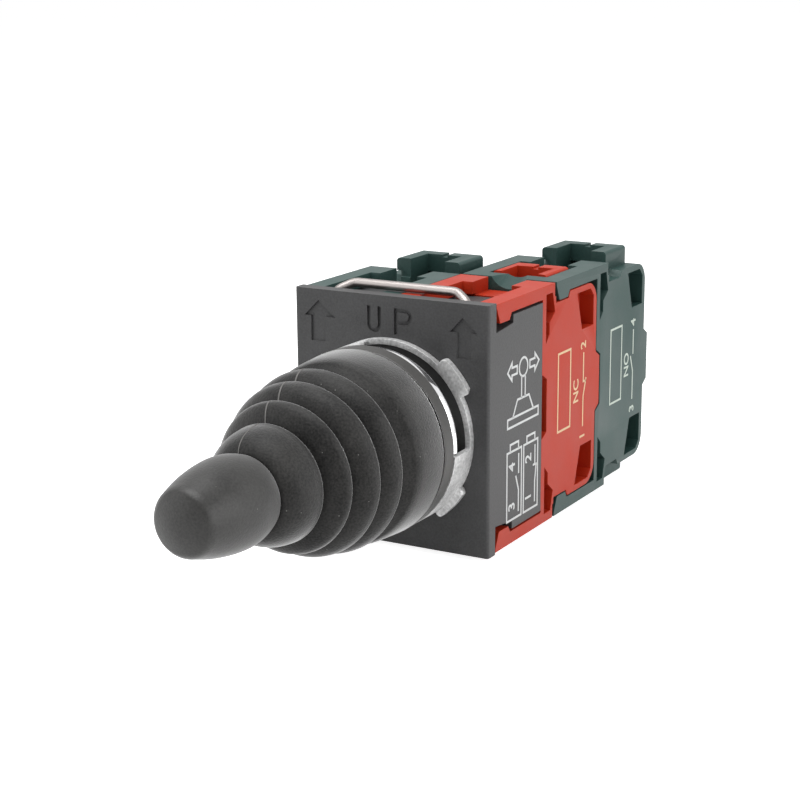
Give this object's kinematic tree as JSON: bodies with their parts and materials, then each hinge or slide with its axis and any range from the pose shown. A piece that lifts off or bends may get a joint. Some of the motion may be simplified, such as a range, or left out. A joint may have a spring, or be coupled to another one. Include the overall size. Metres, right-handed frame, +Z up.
{
  "type": "industrial joystick",
  "caption": "Two-way panel joystick with a bellows boot, chrome ring, ring nut, clip-on adapter and contact blocks.",
  "frame": {"origin": "on the head's axis at the panel seat, the rear face of the gasket", "axes": "+Y along the head's axis to the rear, +Z up as marked on the front plate, +X to the operator's right"},
  "size_m": [0.0346, 0.1188, 0.042],
  "materials": {
    "knob_plastic": "fine moulded grain, satin black",
    "boot_rubber": "matt black rubber with mould lines",
    "bezel_plastic": "satin black",
    "gasket_rubber": "matt black",
    "adapter_plastic": "satin charcoal moulding",
    "white_plastic": "natural white slide plastic",
    "green_plastic": "satin dark green moulding",
    "red_plastic": "satin red moulding",
    "chrome": "bright",
    "zinc": "matt die-cast zinc",
    "steel": "turned",
    "clip_steel": "nickel-plated satin",
    "spring_steel": "drawn wire",
    "brass": "turned",
    "contact_brass": "stamped strip"
  },
  "bodies": {
    "housing": {"bezel": "bezel_plastic", "chrome_ring": "chrome", "panel_gasket": "gasket_rubber", "threaded_neck": "bezel_plastic", "ring_nut": "zinc", "rubber_boot": "boot_rubber", "adapter": "adapter_plastic", "pusher_guide": "adapter_plastic", "guide_screws": "steel", "pusher_spring_left": "spring_steel", "pusher_spring_right": "spring_steel", "left_front_housing": "green_plastic", "left_front_return_spring": "spring_steel", "left_front_terminals": "contact_brass", "left_front_clamps": "clip_steel", "left_front_screws": "clip_steel", "right_front_housing": "red_plastic", "right_front_return_spring": "spring_steel", "right_front_terminals": "contact_brass", "right_front_clamps": "clip_steel", "right_front_screws": "clip_steel", "right_rear_housing": "green_plastic", "right_rear_return_spring": "spring_steel", "right_rear_terminals": "contact_brass", "right_rear_clamps": "clip_steel", "right_rear_screws": "clip_steel", "right_front_contact_spring": "spring_steel"},
    "lever": {"knob": "knob_plastic", "knob_insert": "brass", "lever_rod": "steel", "rocker": "white_plastic", "pivot_pin": "steel"},
    "pusher_left": {"pusher_left": "white_plastic"},
    "pusher_right": {"pusher_right": "white_plastic"},
    "plunger_left_front": {"left_front_plunger": "white_plastic", "left_front_bridge": "contact_brass", "left_front_contact_spring": "spring_steel"},
    "plunger_right_front": {"right_front_plunger": "white_plastic"},
    "plunger_right_rear": {"right_rear_plunger": "white_plastic", "right_rear_bridge": "contact_brass", "right_rear_contact_spring": "spring_steel"},
    "break_bridge": {"right_front_bridge": "contact_brass"},
    "clip": {"locking_clip": "clip_steel"}
  },
  "joints": [
    {"name": "lever_tilt", "type": "hinge", "parent": "housing", "child": "lever", "pos_m": [0, 0.0045, 0], "axis": [0, 0, 1], "range_deg": [-20, 20], "stiffness_Nm_per_rad": 0.3, "deforming": ["rubber_boot"]},
    {"name": "pusher_left_slide", "type": "slide", "parent": "housing", "child": "pusher_left", "axis": [0, 1, 0], "range_m": [-0.00225, 0.00225], "deforming": ["pusher_spring_left"]},
    {"name": "pusher_right_slide", "type": "slide", "parent": "housing", "child": "pusher_right", "axis": [0, 1, 0], "range_m": [-0.00225, 0.00225], "deforming": ["pusher_spring_right"]},
    {"name": "plunger_left_front_slide", "type": "slide", "parent": "housing", "child": "plunger_left_front", "axis": [0, 1, 0], "range_m": [-0.00225, 0.00225], "deforming": ["left_front_return_spring"]},
    {"name": "plunger_right_front_slide", "type": "slide", "parent": "housing", "child": "plunger_right_front", "axis": [0, 1, 0], "range_m": [-0.00225, 0.00225], "deforming": ["right_front_return_spring", "right_front_contact_spring"]},
    {"name": "plunger_right_rear_slide", "type": "slide", "parent": "housing", "child": "plunger_right_rear", "axis": [0, 1, 0], "range_m": [-0.00225, 0.00225], "deforming": ["right_rear_return_spring"]},
    {"name": "break_bridge_lift", "type": "slide", "parent": "housing", "child": "break_bridge", "axis": [0, 1, 0], "range_m": [0, 0.001], "stiffness_N_per_m": 300},
    {"name": "clip_lift", "type": "slide", "parent": "housing", "child": "clip", "axis": [0, 0, 1], "range_m": [0, 0.006]}
  ],
  "couplings": [
    {"joint": "pusher_left_slide", "follows": "lever_tilt", "m_per_rad": -0.006369},
    {"joint": "pusher_right_slide", "follows": "lever_tilt", "m_per_rad": 0.006369},
    {"joint": "plunger_left_front_slide", "follows": "lever_tilt", "m_per_rad": -0.006369},
    {"joint": "plunger_right_front_slide", "follows": "lever_tilt", "m_per_rad": 0.006369},
    {"joint": "plunger_right_rear_slide", "follows": "lever_tilt", "m_per_rad": 0.006369}
  ]
}
